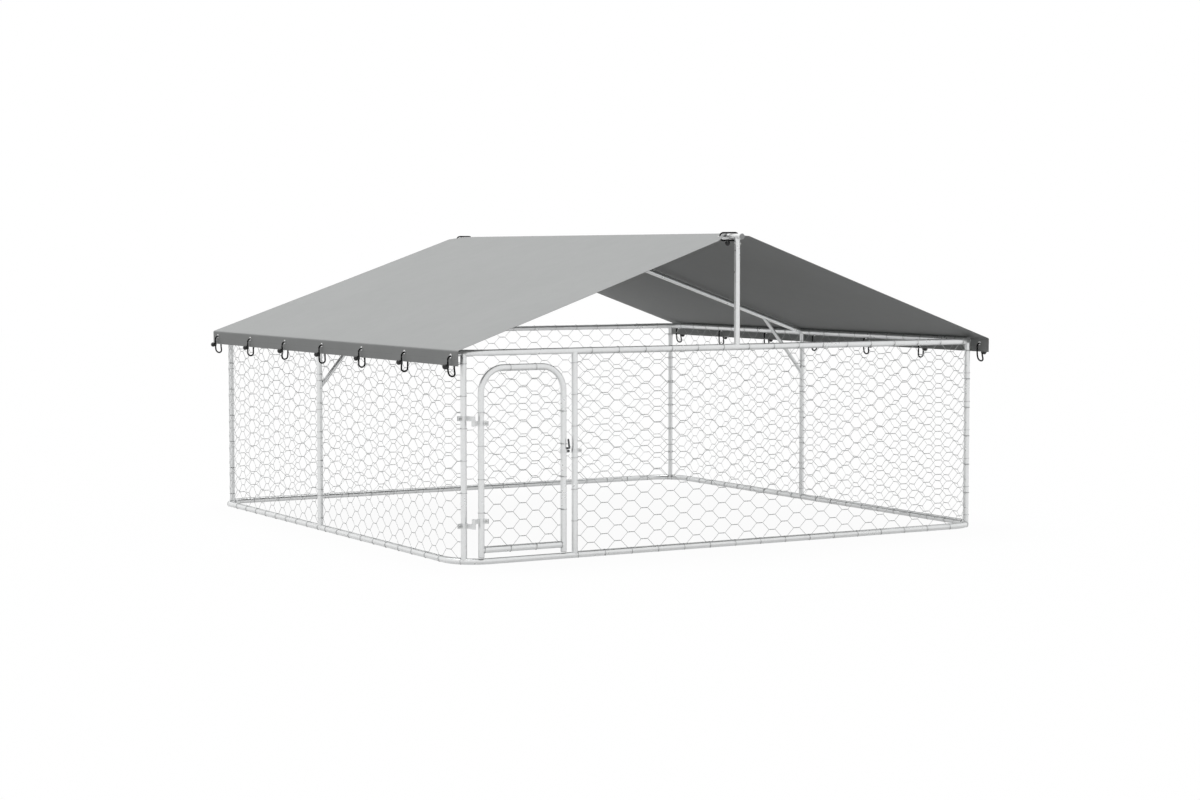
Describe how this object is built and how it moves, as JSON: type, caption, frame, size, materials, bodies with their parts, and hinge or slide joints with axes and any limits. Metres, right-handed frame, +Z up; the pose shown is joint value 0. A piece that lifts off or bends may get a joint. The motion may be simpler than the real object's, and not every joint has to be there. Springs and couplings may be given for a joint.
{
  "type": "outdoor dog kennel run",
  "caption": "Square outdoor dog run of bent galvanised tube and wire net, with an arched hinged door, a fork latch and a ridged fabric canopy tied down with ball bungees.",
  "frame": {"origin": "on the ground at the middle of the run's footprint", "axes": "+X to the right along the front wall, -Y out of the door, +Z up"},
  "size_m": [3.1036, 3.056, 1.5063],
  "materials": {
    "tube": "galvanised",
    "net": "galvanised wire",
    "sleeve": "galvanised",
    "bolt": "zinc plated",
    "cap": "moulded",
    "fitting": "galvanised",
    "canopy": "woven coated sheet",
    "eyelet": "bright",
    "cord": "braided sleeve",
    "ball": "satin"
  },
  "bodies": {
    "run": {"bottom_corner_front_left": "tube", "bottom_corner_front_right": "tube", "bottom_corner_back_left": "tube", "bottom_corner_back_right": "tube", "top_corner_front_left": "tube", "top_corner_front_right": "tube", "top_corner_back_left": "tube", "top_corner_back_right": "tube", "bottom_rail_front": "tube", "bottom_rail_back": "tube", "bottom_rail_left": "tube", "bottom_rail_right": "tube", "top_rail_front": "tube", "top_rail_back": "tube", "top_rail_left": "tube", "top_rail_right": "tube", "rail_sleeves": "sleeve", "post_front_left": "tube", "post_front_right": "tube", "post_back_left": "tube", "post_back_right": "tube", "post_mid_left": "tube", "post_mid_right": "tube", "door_post": "tube", "king_post_front": "tube", "king_post_back": "tube", "king_post_bolts": "bolt", "ridge_tube": "tube", "rafter_left": "tube", "rafter_right": "tube", "brace_left": "tube", "brace_right": "tube", "ridge_caps": "cap", "net_front": "net", "net_back": "net", "net_left_front": "net", "net_left_back": "net", "net_right_front": "net", "net_right_back": "net", "canopy": "canopy", "eyelets": "eyelet", "bungee_loops": "cord", "bungee_balls": "ball", "hinge_pintle_lower": "fitting", "hinge_pintle_upper": "fitting", "latch_keeper": "fitting", "post_clamp_bolts": "bolt"},
    "door": {"door_frame": "tube", "door_bottom_bar": "tube", "door_feet": "cap", "door_net": "net", "hinge_eye_lower": "fitting", "hinge_eye_upper": "fitting", "door_clamp_bolts": "bolt", "latch_clamp": "fitting", "latch_pivot": "bolt"},
    "latch": {"latch_fork": "fitting"}
  },
  "joints": [
    {"name": "door_swing", "type": "hinge", "parent": "run", "child": "door", "pos_m": [-1.4216, -1.502, 0.187], "axis": [0, 0, -1], "range_deg": [0, 105]},
    {"name": "fork_flip", "type": "hinge", "parent": "door", "child": "latch", "pos_m": [-0.929, -1.486, 0.497], "axis": [0, 1, 0], "range_deg": [0, 98]}
  ]
}
